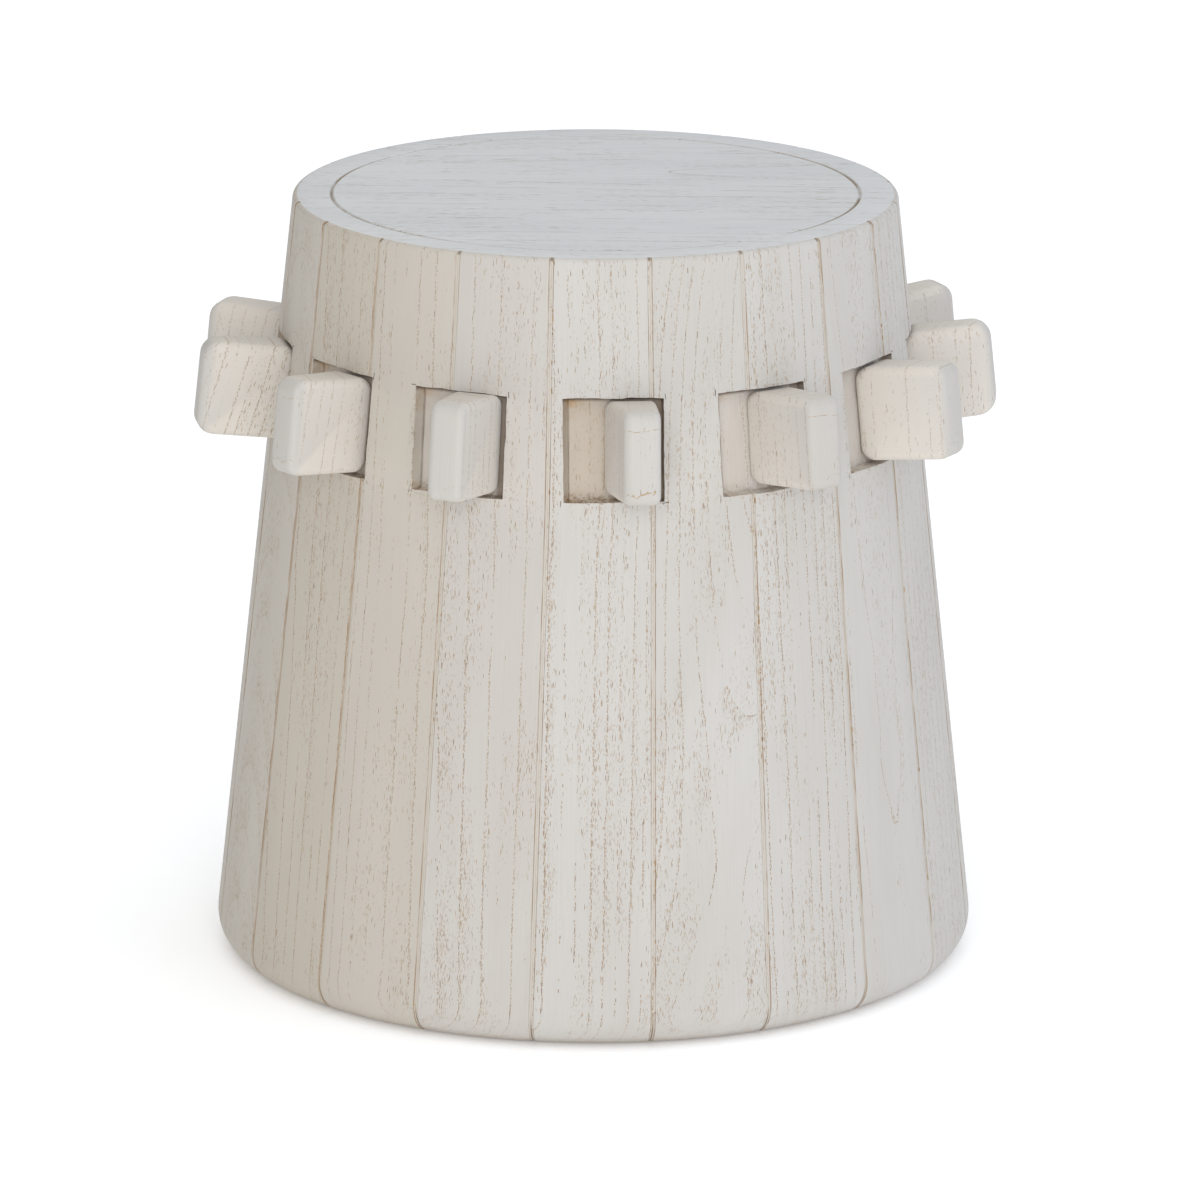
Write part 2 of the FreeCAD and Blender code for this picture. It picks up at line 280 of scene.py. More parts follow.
# Factors that keep neighbours from looking alike
unlike = {
    "board": 57.3,
    "ring": 113.7,
    "sway": 31,
    "drift": 5.1,
    "stretch": 3.1,
    "stroke": 7.3,
    "seam": 9,
    "seamSide": 40,
    "staveStart": 1.37,
    "blockStart": 0.61,
    "mortiseWall": 7.3,
    "mortiseFloor": 3.1,
}


def ringStrings(shader, x, y, z, steep, seed, look):
    # Growth rings cut the surface in long lines, where pores string together in short strokes.
    # The loose pores crowd just outside each line and thin out towards the next one.
    gap = look["ringGap"]
    reach = look["stringReach"]
    rate = look["strokeRate"]
    sway = (shader.waver(z * rings["swayRate"] + seed * unlike["sway"]) - 0.5) * rings["sway"]
    radius = (x * x + y * y).math("SQRT")
    lane = (radius + sway) / gap
    number = lane.math("FLOOR")
    luck = shader.lots(number + seed * unlike["board"])
    off = lane - number - rings["start"] - rings["stray"] * luck[0]
    slow = shader.waver(z * rings["driftRate"] + number * unlike["drift"])
    bold = shader.numbers("tone")[2]
    present = (rings["driftShare"] * slow + rings["luckShare"] * luck[1] + bold).step(*rings["shown"])
    stretch = shader.waver(z * rate * rings["stretchRate"] + number * unlike["stretch"])
    chain = z * rate + number * unlike["stroke"] + rings["stretch"] * stretch
    link = chain.math("FLOOR")
    chance = shader.lots(link + number * unlike["ring"] + seed * unlike["board"])
    away = off * gap / steep
    apart = abs(away + (chance[0] - 0.5) * reach)
    along = abs(chain - link - 0.5) / chance[1].span(*rings["strokeLengths"])
    stroke = (apart / look["strokeWidth"]).fade(*rings["strokeSide"]) * along.fade(*rings["strokeEnd"])
    stroke = stroke * (chance[2] < present * rings["strokeChance"])
    near = (abs(away) / reach).fade(*rings["nearEdge"]) * present
    early = 1 - (off.math("FRACT") + 1).math("FRACT")
    return near, stroke, chance[1], early * early


def poreDashes(shader, across, z, width, length, chance):
    distance, luck = shader.cells(across / width, z / length)
    reach = wood["poreReach"] * luck[1].span(*wood["poreSizes"])
    dash = (distance / reach).fade(*wood["poreEdge"]) * (luck[0] < chance)
    return dash * luck[2].span(*wood["poreTones"]), luck[2]


def limedWood(name, grain, look, extra=None):
    material, shader, surface = newMaterial(name)
    local, girth, steep = grain(shader)
    x, y, z = shader.split(local)
    seed, porosity, stain = shader.numbers("board")
    string, stroke, strokeTint, early = ringStrings(shader, x, y, z, steep, seed, look)
    patch = shader.stretched(local, wood["patchScale"], 3.0).step(*wood["patchEdge"])
    crowd = patch * porosity * early.span(*wood["crowding"])
    share = look["strings"] * porosity.span(*wood["stringing"])
    strung = string * share
    width, length = look["poreSize"]
    small = wood["speckShare"]
    dashChance = wood["dashesOnString"] * strung + look["dashes"] * crowd
    dashes, dashTint = poreDashes(shader, girth, z, width, length, dashChance)
    speckChance = wood["specksOnString"] * strung + look["specks"] * crowd
    specks, speckTint = poreDashes(
        shader, girth + wood["speckShift"], z, width * small, length * small * small, speckChance)
    fibre = shader.noise(shader.join(girth * wood["fibreAcross"], seed, z * wood["fibreAlong"]), 1.0, 2.0)
    cloud = shader.stretched(local, wood["cloudScale"], 3.0)
    base = shader.mix(cloud.step(*wood["cloudEdge"]), look["light"], look["dark"])
    base = shader.mix(fibre.step(*wood["fibreEdge"]) * look["fibre"], base, look["grey"])
    wear = 1.0
    if extra:
        base, wear = extra(shader, base, seed, stain)
    pores = dashes.high(specks * wood["speckStrength"]).high(stroke * share.low(1.0)) * wear
    tint = (dashTint * dashes).high(speckTint * specks).high(strokeTint * stroke)
    poreColour = shader.mix(tint.step(*wood["poreTint"]), look["tan"], look["brown"])
    base = shader.mix((pores * look["poreStrength"]).low(1.0), base, poreColour)
    relief = fibre * wood["fibreRelief"] - pores
    shader.fill(surface, {
        "Base Color": base,
        "Roughness": look["rough"] + wood["cloudRough"] * cloud + wood["poreRough"] * pores,
        "Normal": shader.bump(relief, wood["reliefDepth"], look["relief"]),
        "Specular IOR Level": wood["gloss"],
    })
    return material


# Grain: where a point lies from the pith and along the board, its place round the board, and how
# steeply the rings run into the surface

seat = {
    "steps": 160,
    "smooth": 30,
    "seed": 71,
    "pithAcross": 0.055,
    "pithBelow": 0.052,
    "lean": -0.05,
    "underPith": (0.02, 0.06),
    "underFacing": -0.9,
    "groove": shade(138, 117, 82),
    "grooveScale": 22.0,
    "groovePatches": (0.30, 0.54),
    "grooveEdge": (0.0005, 0.0012),
    "grooveStrength": 0.85,
}


def facingSteep(x, y):
    # for a face that looks along Y
    across = x * x + y * y * wood["steepFloor"]
    return (across.math("SQRT") / (x * x + y * y).math("SQRT")).high(wood["leastSteep"])


def boardGrain(shader):
    # a bowed board has its rings furthest from the pith at one level, so they arch away from it
    x, y, z = shader.numbers("grain")
    girth, bow, rise = shader.numbers("around")
    behind = y - bow * rise * rise
    return shader.join(x, behind, z), girth, facingSteep(x, behind)


def blockGrain(shader):
    girth, steep = shader.numbers("around")[:2]
    return shader.attribute("grain"), girth, steep.high(wood["leastSteep"])


def seatGrain(shader):
    # one board pattern right across the top, its grain along X and its rings leaning
    x, y = shader.split(shader.place())[:2]
    across = y - seat["pithAcross"]
    below = seat["pithBelow"] + seat["lean"] * x
    return shader.join(across, below, x), y, facingSteep(across, below)


def objectGrain(shader):
    place = shader.place()
    x, y = shader.split(place)[:2]
    return place, x + y, facingSteep(x, y)


# Looks and marks of each wood

staveLook = {
    "light": shade(197, 193, 187),
    "dark": shade(192, 187, 180),
    "grey": shade(182, 177, 170),
    "tan": shade(162, 124, 64),
    "brown": shade(118, 82, 32),
    # painted shade: a warmer, darker colour for the staves on the dimly lit left side
    "warmShade": shade(188, 177, 160),
    "poreSize": (0.00058, 0.0062),
    "strokeRate": 400.0,
    "strokeWidth": 0.00036,
    "ringGap": 0.0066,
    "stringReach": 0.0008,
    "dashes": 0.75,
    "specks": 0.90,
    "strings": 0.92,
    "fibre": 0.25,
    "poreStrength": 0.85,
    "relief": 0.5,
    "rough": 0.52,
}

mortise = {
    "count": 13,
    "frontAngle": 3.2,
    "halfAngle": 11,
    "level": 0.348,
    "width": 0.0594,
    "height": 0.0605,
    "depth": 0.008,
    "draft": math.tan(math.radians(10)),
    "leftDraft": math.tan(math.radians(30)),
    "overrun": 0.012,
    "flare": 0.002,  # how far outside the flank the side walls still open
    "cuts": 21,
    "waver": 0.0006,
    "waverRate": 2.2,
    "chips": 0.0003,
    "chipRate": 6,
    "chipDepthRate": 300,
    "wallPower": 8,  # high, so that only the walls stray
    "gouge": 0.0005,
    "gougeRates": (9, 2.5),
    "floorShare": 0.99,
    "seed": 5,
    "tone": {0: 0.8, 1: 0.0, 2: 0.1, 11: 0.5, 12: 0.3},  # how dark some are inside
    "usualTone": 0.5,
}

# Specks of dirt on the flank along the edges of each mortise, most of them under it
crumb = {
    "scale": 600.0,
    "edge": (0.55, 0.66),
    "groupScale": 80.0,
    "groupEdge": (0.40, 0.60),
    "start": 0.0004,
    "reach": (0.0024, 0.0054),  # beside a mortise and under it
    "amount": (0.35, 0.75),
    "lip": 0.001,
}

# Each seam is a shallow band. Paint is rubbed off its two edges and dirt lies in its middle.
seam = {
    "bevel": 0.0015,
    "step": 0.00125,
    "stepWidth": 0.0002,
    "depth": 0.00045,
    "streakStretch": 40,
    "streakScale": 45.0,
    "slowRate": 14,
    "bandEdge": (0.0009, 0.0012),
    "bandStrength": 0.5,
    "lineEdge": (0.00005, 0.0003),
    "lineStrength": (0.15, 0.55),
    "rubEdge": (0.00010, 0.00042),
    "rubPatches": (0.38, 0.62),
    "rubStrength": (0.22, 0.84),
    "rustEdge": (0.0006, 0.0014),
    "rustPatches": (0.30, 0.55),
    "rustStrength": 0.95,
    "notchEdge": (0.0005, 0.0011),
    "notchDrop": (0.0024, 0.0008),  # below the rim
    "notchStrength": 0.7,
    # painted shade and dirt darken the foot of each stave where it meets the floor
    "footShadeAndDirt": (0.0, 0.008),
    "footStrength": 0.5,
    "crackEdge": (0.0002, 0.0007),
    "crackTop": (0.010, 0.022),
    "crackStrength": 0.75,
    "wornFoot": (0.006, 0.024),  # few pores show near the foot
    "wornPores": (0.35, 1.0),
    "band": shade(196, 188, 174),
    # dirt in the middle of each seam, and with painted shade at the foot
    "dirtAndShade": shade(150, 134, 116),
    "rubbed": shade(146, 120, 92),
    "rust": shade(136, 98, 50),
    "notch": shade(96, 78, 60),
}


def crumbsOutside(shader, base):
    place = shader.place()
    x, y, z = shader.split(place)
    turn = x.math("ARCTAN2", -1 * y) - math.radians(mortise["frontAngle"])
    step = 2 * math.pi / mortise["count"]
    across = (turn - step * (turn / step).math("ROUND")) * flankRadius(mortise["level"])
    up = (z - mortise["level"]) / math.cos(lean)
    beside = abs(across) - mortise["width"] / 2
    above = abs(up) - mortise["height"] / 2
    outside = beside.high(above)
    under = (up + mortise["height"] / 2).fade(-crumb["lip"], crumb["lip"])
    specks = shader.noise(place, crumb["scale"], 3.0).step(*crumb["edge"])
    groups = shader.noise(place, crumb["groupScale"], 2.0).step(*crumb["groupEdge"])
    amount = outside.fade(crumb["start"], under.span(*crumb["reach"])) * under.span(*crumb["amount"])
    return shader.mix(amount * (specks * groups), base, staveLook["brown"])


# Dirt, stains and wear along the seams and round the mortises, with painted shade on the left staves and
# at the foot
def seamDirtAndShade(shader, base, seed, stain):
    left, right, level = shader.numbers("sides")
    gap = left.low(right)
    # painted shade: the left staves turn warmer and darker, where the light is dimmer
    base = shader.mix(shader.numbers("tone")[1], base, staveLook["warmShade"])
    sideways = seam["streakStretch"]
    streakPlace = shader.join(left * sideways, right * sideways, level)
    streak = shader.noise(streakPlace, seam["streakScale"], 3.0)
    ownSide = seed * unlike["seam"] + (left > right) * unlike["seamSide"]
    slow = shader.waver(level * seam["slowRate"] + ownSide)
    base = shader.mix(gap.fade(*seam["bandEdge"]) * seam["bandStrength"], base, seam["band"])
    line = gap.fade(*seam["lineEdge"]) * streak.span(*seam["lineStrength"])
    base = shader.mix(line, base, seam["dirtAndShade"])
    edge = abs(gap - seam["step"]).fade(*seam["rubEdge"])
    patches = (streak + slow - 0.5).step(*seam["rubPatches"])
    base = shader.mix(edge * patches.span(*seam["rubStrength"]), base, seam["rubbed"])
    rust = stain * gap.fade(*seam["rustEdge"]) * streak.step(*seam["rustPatches"])
    base = shader.mix(rust.low(seam["rustStrength"]), base, seam["rust"])
    base = crumbsOutside(shader, base)
    notchFoot, notchTop = [drum["height"] - drop for drop in seam["notchDrop"]]
    notch = gap.fade(*seam["notchEdge"]) * level.step(notchFoot, notchTop)
    base = shader.mix(notch * seam["notchStrength"], base, seam["notch"])
    # painted shade and dirt: darker at the very foot, where the stave meets the floor
    base = shader.mix(level.fade(*seam["footShadeAndDirt"]) * seam["footStrength"], base, seam["dirtAndShade"])
    crack = gap.fade(*seam["crackEdge"]) * level.fade(*seam["crackTop"])
    base = shader.mix(crack * seam["crackStrength"], base, seam["notch"])
    return base, level.step(*seam["wornFoot"]).span(*seam["wornPores"])


seatLook = dict(
    staveLook,
    light=shade(211, 210, 209),
    dark=shade(205, 205, 204),
    grey=shade(190, 191, 190),
    tan=shade(172, 162, 144),
    brown=shade(142, 128, 104),
    poreSize=(0.0008, 0.017),
    strokeRate=12.0,
    strokeWidth=0.00032,
    ringGap=0.011,
    stringReach=0.0012,
    dashes=0.32,
    specks=0.70,
    strings=1.0,
    fibre=0.5,
)


def seatGroove(shader, base, seed, stain):
    # An olive line of dirt where the seat meets the ring, thin and here and there broken.
    place = shader.place()
    x, y = shader.split(place)[:2]
    away = abs((x * x + y * y).math("SQRT") - recessRadius)
    streak = shader.noise(place, seat["grooveScale"], 4.0).step(*seat["groovePatches"])
    line = away.fade(*seat["grooveEdge"]) * streak
    return shader.mix(line * seat["grooveStrength"], base, seat["groove"]), 1.0


block = {
    "rootWidth": 0.0303,
    "noseWidth": 0.0205,
    "height": 0.053,
    "reach": 0.0487,
    "reachSpare": 0.0002,
    "side": 0.0239,
    "lift": 0.0015,
    "edgeRound": 0.0042,
    "cornerSteps": 6,
    "edgeSteps": 5,
    "acrossShare": 0.9,
    "cheekFacing": 0.8,
    "smooth": 40,
    "lotSeed": 90,
    "grainSeed": 40,
    "usualPores": 0.6,
    "nosePores": 0.6,  # share of its pores that the nose lacks
    "noseFrom": 0.040,
    "noseFade": 0.005,
    "flatSteep": 0.35,  # strings fade where the rings run flatter than this
    "flatFade": 3,
    "usualScratch": (0.5, 0.5),
}

blockLook = dict(
    staveLook,
    light=shade(194, 190, 184),
    dark=shade(189, 184, 177),
    pale=shade(213, 206, 196),
    paleStrength=0.85,
    poreSize=(0.0007, 0.0055),
    ringGap=0.0068,
    dashes=0.35,
    specks=0.55,
    strings=0.9,
    poreStrength=0.75,
)

scratch = {
    "upperLevel": 0.0178,
    "upperWander": 0.008,
    "upperEdge": (0.00005, 0.00035),
    "lowerLevel": -0.0205,
    "lowerWander": 0.014,
    "lowerSlope": 0.12,
    "lowerEdge": (0.00010, 0.00060),
    "wanderScale": 70.0,
    "gapScale": 420.0,
    "gapEdge": (0.42, 0.60),
    "noseEdge": (0.0008, 0.004),
    "strength": 0.65,
}


def blockMarks(shader, base, seed, stain):
    # The cheeks are paler than the nose, which has a scratch near its top and one along its foot.
    across, up, depth = shader.numbers("pocket")
    upperShare, lowerShare = shader.numbers("tone")[:2]
    place = shader.join(across, up, seed)
    wander = shader.noise(place, scratch["wanderScale"], 3.0) - 0.5
    base = shader.mix(stain * blockLook["paleStrength"], base, blockLook["pale"])
    upper = abs(up - scratch["upperLevel"] - scratch["upperWander"] * wander)
    slope = scratch["lowerSlope"] * across
    lower = abs(up - scratch["lowerLevel"] - scratch["lowerWander"] * wander - slope)
    marks = upper.fade(*scratch["upperEdge"]) * upperShare + lower.fade(*scratch["lowerEdge"]) * lowerShare
    noseStart, noseEnd = [edge - block["reach"] for edge in scratch["noseEdge"]]
    nose = depth.fade(noseStart, noseEnd)
    gaps = shader.noise(place, scratch["gapScale"], 3.0).step(*scratch["gapEdge"])
    return shader.mix((nose * marks * gaps).low(scratch["strength"]), base, blockLook["tan"]), 1.0


pocketLook = dict(
    staveLook,
    light=shade(205, 199, 191),
    dark=shade(198, 190, 180),
    deep=shade(184, 172, 156),
    stain=shade(180, 140, 82),
    # painted shade and dirt: the colour of the left wall inside a mortise
    wall=shade(154, 142, 128),
    # painted shade: under the top edge, along the crease and in the gap beside the block
    dirtAndShade=shade(98, 80, 64),
    crumb=shade(122, 92, 62),
    dashes=0.3,
    specks=0.5,
)

# Each reach is measured from the edge of the mortise that its mark lies along
pocketDirtAndShade = {
    "blotchScale": 95.0,
    "blotEdge": (0.36, 0.60),
    "crumbScale": 560.0,
    "crumbEdge": (0.47, 0.57),
    "rough": 0.6,
    "aged": (0.35, 1.0),
    "leftReach": (0.003, 0.018),
    "topReach": (0.002, 0.020),
    "footReach": (0.001, 0.010),
    "footShare": 0.6,
    "crumbShare": (0.6, 1.0),
    "wallDepth": (0.0060, 0.0072),
    "wallReach": (0.0042, 0.0052),
    "wallStrength": (0.45, 0.95),
    "wallPale": (0.0012, 0.0045),
    "paleShare": 0.5,
    "litterReach": (0.0005, 0.0060),
    "litterCorner": 0.3,
    "litterStrength": (0.25, 0.85),
    "ledgeReach": (0.0010, 0.0034),
    "ledgeStrength": (0.35, 1.25),
    "creaseReach": (0.0002, 0.0008),
    "creaseStrength": (0.15, 0.75),
    "shadedGapReach": (0.0058, 0.0078),
    "shadedGapStrength": 0.6,
    "poreWear": 0.8,
}


def mortiseDirtAndShade(shader, base, seed, stain):
    # Stains in the corners of a mortise and crumbs of dirt along its edges. Painted shade and dirt on its
    # left wall, and painted shade under its top edge, along the crease where its left wall meets the
    # floor, and in the gap beside the block.
    marks = pocketDirtAndShade
    place = shader.attribute("pocket")
    across, up, depth = shader.split(place)
    blotch = shader.noise(place, marks["blotchScale"], 4.0, marks["rough"])
    crumbs = shader.noise(place, marks["crumbScale"], 3.0, marks["rough"]).step(*marks["crumbEdge"])
    tone = shader.numbers("tone")[0]
    aged = tone.span(*marks["aged"])
    fromLeft = across + mortise["width"] / 2
    fromRight = mortise["width"] / 2 - across
    fromTop = mortise["height"] / 2 - up
    fromFoot = up + mortise["height"] / 2
    left = fromLeft.fade(*marks["leftReach"])
    top = fromTop.fade(*marks["topReach"])
    foot = fromFoot.fade(*marks["footReach"])
    corner = (left * (top + marks["footShare"] * foot)).low(1.0)
    base = shader.mix(tone, base, pocketLook["deep"])
    blots = blotch.step(*marks["blotEdge"]) * crumbs.span(*marks["crumbShare"])
    base = shader.mix(corner * blots * aged, base, pocketLook["stain"])
    # painted shade and dirt: the left wall darker, as it lies in shade
    wall = depth.fade(*marks["wallDepth"]) * fromLeft.fade(*marks["wallReach"])
    pale = 1 - marks["paleShare"] * fromLeft.step(*marks["wallPale"])
    base = shader.mix(wall * (blotch.span(*marks["wallStrength"]) * aged * pale), base, pocketLook["wall"])
    low = fromFoot.fade(*marks["litterReach"])
    litter = (low + marks["litterCorner"] * left * foot).low(1.0) * crumbs
    base = shader.mix(litter * tone.span(*marks["litterStrength"]), base, pocketLook["crumb"])
    # painted shadow: a dark ragged line just under the top edge of the mortise
    ledge = fromTop.fade(*marks["ledgeReach"]) * blotch.span(*marks["ledgeStrength"])
    base = shader.mix(ledge.low(1.0), base, pocketLook["dirtAndShade"])
    # painted shade: a dark line along the crease where the left wall meets the floor
    floorEdge = mortise["depth"] * mortise["leftDraft"]
    crease = abs(fromLeft - floorEdge).fade(*marks["creaseReach"])
    base = shader.mix(crease * blotch.span(*marks["creaseStrength"]), base, pocketLook["dirtAndShade"])
    # painted shade: darker in the narrow gap between the block and the right wall
    gap = fromRight.fade(*marks["shadedGapReach"])
    base = shader.mix(gap * marks["shadedGapStrength"], base, pocketLook["dirtAndShade"])
    return base, marks["poreWear"]


bareLook = dict(
    staveLook,
    light=shade(176, 148, 112),
    dark=shade(166, 136, 100),
    grey=shade(150, 122, 90),
    tan=shade(140, 106, 70),
    brown=shade(110, 78, 48),
)

staveWood = limedWood("staveWood", boardGrain, staveLook, seamDirtAndShade)
mortiseWood = limedWood("mortiseWood", boardGrain, pocketLook, mortiseDirtAndShade)
blockWood = limedWood("blockWood", blockGrain, blockLook, blockMarks)
seatWood = limedWood("seatWood", seatGrain, seatLook, seatGroove)
bareWood = limedWood("bareWood", boardGrain, bareLook)
hiddenWood = limedWood("hiddenWood", objectGrain, bareLook)
print("materials ready")


# Meshes

weldDistance = 1e-6


def everything(bm):
    return bm.verts[:] + bm.edges[:] + bm.faces[:]


def roundOff(bm, geom, offset, steps, affect="EDGES", clamp=False):
    return bmesh.ops.bevel(
        bm, geom=geom, offset=offset, offset_type="OFFSET", segments=steps, profile=0.5,
        affect=affect, material=-1, clamp_overlap=clamp)["verts"]


def spinRound(bm, geom, angle, steps, merge):
    bmesh.ops.spin(
        bm, geom=geom, cent=(0, 0, 0), axis=(0, 0, 1), dvec=(0, 0, 0), angle=angle, steps=steps,
        use_duplicate=False, use_merge=merge)
    bmesh.ops.remove_doubles(bm, verts=bm.verts, dist=weldDistance)


def finishMesh(bm, name, materials):
    bmesh.ops.recalc_face_normals(bm, faces=bm.faces)
    mesh = bpy.data.meshes.new(name)
    bm.to_mesh(mesh)
    bm.free()
    piece = bpy.data.objects.new(name, mesh)
    bpy.context.scene.collection.objects.link(piece)
    for material in materials:
        mesh.materials.append(material)
    return piece


def smoothByAngle(mesh, degrees):
    for face in mesh.polygons:
        face.use_smooth = True
    mesh.set_sharp_from_angle(angle=math.radians(degrees))


def setVectors(mesh, marks):
    for name, values in marks.items():
        layer = mesh.attributes.new(name, "FLOAT_VECTOR", "POINT")
        layer.data.foreach_set("vector", [part for value in values for part in value])


def standFor(piece, node):
    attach(piece, "root")
    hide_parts(node)


# Mortises

flankSlot, pocketSlot, topSlot, insideSlot = range(4)  # a stave's materials

tick = {
    "count": 3,
    "seed": 30,
    "length": (0.0025, 0.0045),
    "width": (0.0003, 0.0005),
    "depth": 0.006,
    "turn": 0.12,
    "sink": 0.0021,
    "past": 0.0003,
}


def mortiseFrame(index):
    # X along the girth, Y square into the flank, Z up the flank
    place = Matrix.Translation((0, -flankRadius(mortise["level"]), mortise["level"]))
    return Matrix.Rotation(turnOf(mortise, index), 4, "Z") @ place @ Matrix.Rotation(-lean, 4, "X")


def finishTool(bm, name, index):
    bm.transform(mortiseFrame(index))
    for face in bm.faces:
        face.material_index = pocketSlot
    return finishMesh(bm, f"{name}{index}", [staveWood, mortiseWood])


def buildMortiseTool(index):
    # A drafted cutter whose walls waver and whose floor carries shallow gouge marks.
    bm = bmesh.new()
    bmesh.ops.create_cube(bm, size=1.0)
    bmesh.ops.subdivide_edges(bm, edges=bm.edges, cuts=mortise["cuts"], use_grid_fill=True)
    long = mortise["depth"] + mortise["overrun"]
    rate = mortise["waverRate"]
    gougeAcross, gougeAlong = mortise["gougeRates"]
    for vert in bm.verts:
        depth = (vert.co.y + 0.5) * long - mortise["overrun"]
        side = vert.co.x * 2
        rise = vert.co.z * 2
        draft = mortise["leftDraft"] if side < 0 else mortise["draft"]
        spot = Vector((index * unlike["mortiseWall"], side * rate, rise * rate))
        chipSpot = spot * mortise["chipRate"] + Vector((0, 0, depth * mortise["chipDepthRate"]))
        waver = mortise["waver"] * noise.noise_vector(spot)
        stray = waver + mortise["chips"] * noise.noise_vector(chipSpot)
        floorSpot = Vector((index * unlike["mortiseFloor"], side * gougeAcross, rise * gougeAlong))
        gouge = mortise["gouge"] * noise.noise(floorSpot)
        halfWidth = mortise["width"] / 2 - max(depth, -mortise["flare"]) * draft
        halfHeight = mortise["height"] / 2 - depth * mortise["draft"]
        vert.co = Vector((
            side * halfWidth + abs(side) ** mortise["wallPower"] * stray.x,
            depth + (gouge if depth > mortise["depth"] * mortise["floorShare"] else 0),
            rise * halfHeight + abs(rise) ** mortise["wallPower"] * stray.z,
        ))
    return finishTool(bm, "mortiseTool", index)


def buildTickTool(index):
    # Saw and chisel marks that run a little past the corners.
    bm = bmesh.new()
    lot = random.Random(tick["seed"] + index)
    for side, rise in lot.sample([(-1, -1), (-1, 1), (1, -1), (1, 1)], tick["count"]):
        mark = bmesh.ops.create_cube(bm, size=1.0)["verts"]
        length = lot.uniform(*tick["length"])
        width = lot.uniform(*tick["width"])
        upright = lot.random() < 0.5
        size = (width, tick["depth"], length) if upright else (length, tick["depth"], width)
        bmesh.ops.scale(bm, verts=mark, vec=size)
        turn = Matrix.Rotation(lot.uniform(-tick["turn"], tick["turn"]), 3, "Y")
        bmesh.ops.rotate(bm, verts=mark, cent=(0, 0, 0), matrix=turn)
        corner = Vector((side * mortise["width"] / 2, 0, rise * mortise["height"] / 2))
        sink = corner.x ** 2 / (2 * flankRadius(mortise["level"])) - tick["sink"]
        past = Vector((side * tick["past"], sink, rise * tick["past"]))
        bmesh.ops.translate(bm, verts=mark, vec=corner + past)
    return finishTool(bm, "tickTool", index)


def nearestMortise(place):
    angle = math.degrees(math.atan2(place.x, -place.y))
    step = 360 / mortise["count"]
    return round((angle - mortise["frontAngle"]) / step) % mortise["count"]


noise.seed_set(mortise["seed"])
tools = [(buildMortiseTool(index), buildTickTool(index)) for index in range(mortise["count"])]
intoMortise = [mortiseFrame(index).inverted() for index in range(mortise["count"])]


# Staves

stave = {
    "count": 20,
    "frontAngle": 1.0,
    "spinSteps": 12,
    "footSteps": 10,
    "rimSteps": 4,
    "seamSteps": 2,
    "smooth": 34,
    "footTurn": -1.2,  # the staves lean, all the same way: degrees at the foot
    "turnFrom": 0.312,
    "spare": 0.008,  # wood to be planed off the inside
    "mitreSlack": 1e-3,
    "flankFacing": 0.12,
    "seamInset": 0.01,
    "onSeam": 1e-5,
    "bendLimits": (1e-4, 0.6 * seam["bevel"]),
    "insideFacing": 0.9,
    "topDrop": 0.001,
    "topInset": 0.0025,
    "wrap": 0.93,  # how far the pattern moves on where a face runs inwards
    "lotSeed": 500,
    "usualShadeAndBold": (0.1, 0.0),
}
halfStave = math.pi / stave["count"]

# Where each stave's growth rings lie: pith across and behind the flank, lean of the rings along the
# stave, slant of the lines across it, how porous it is at the foot and at the rim, and how stained
# its seams are. The rest are drawn by lot.
staveGrain = {
    0: (-0.085, 0.060, 0.010, -0.004, 1.0, 0.35, 0.0),
    1: (-0.0078, 0.1008, 0.0, 0.25, 1.0, 0.25, 0.0),
    2: (0.120, 0.040, 0.0, 0.0, 0.9, 0.55, 0.0),
    3: (0.004, 0.090, 0.012, 0.0, 0.5, 0.4, 0.25),
    16: (0.002, 0.070, -0.150, 0.0, 0.7, 0.5, 0.45),
    17: (-0.050, 0.055, -0.030, 0.0, 0.7, 0.5, 0.40),
    18: (0.050, 0.065, 0.020, 0.012, 0.4, 0.45, 0.0),
    19: (-0.060, 0.080, -0.010, 0.0, 0.9, 0.25, 0.0),
}
grainLimits = ((0.02, 0.1), (0.05, 0.1), (-0.03, 0.03), (-0.01, 0.01), (0.5, 1.0), (0.3, 0.8))
stainLots = (0, 0, 0.6)

# How far the rings of some staves bow, and the level they bow about
staveBow = {1: (0.603, 0.078)}

# How much warm, darker painted shade some staves carry, most of all on the left side where the light is
# dimmer, and how bold their strings of pores are
staveShadeAndBold = {
    0: (0.0, 0.08), 1: (0.0, 0.16), 2: (0.0, 0.0), 3: (0.0, 0.0), 4: (0.0, 0.0),
    15: (0.3, 0.0), 16: (0.4, 0.08), 17: (0.6, 0.10), 18: (0.42, 0.06), 19: (0.12, 0.0),
}


def grainOf(index):
    if index in staveGrain:
        return staveGrain[index]
    lot = random.Random(stave["lotSeed"] + index)
    side = lot.choice((-1, 1))
    pith, *others = [lot.uniform(*limits) for limits in grainLimits]
    return (side * pith, *others, lot.choice(stainLots))


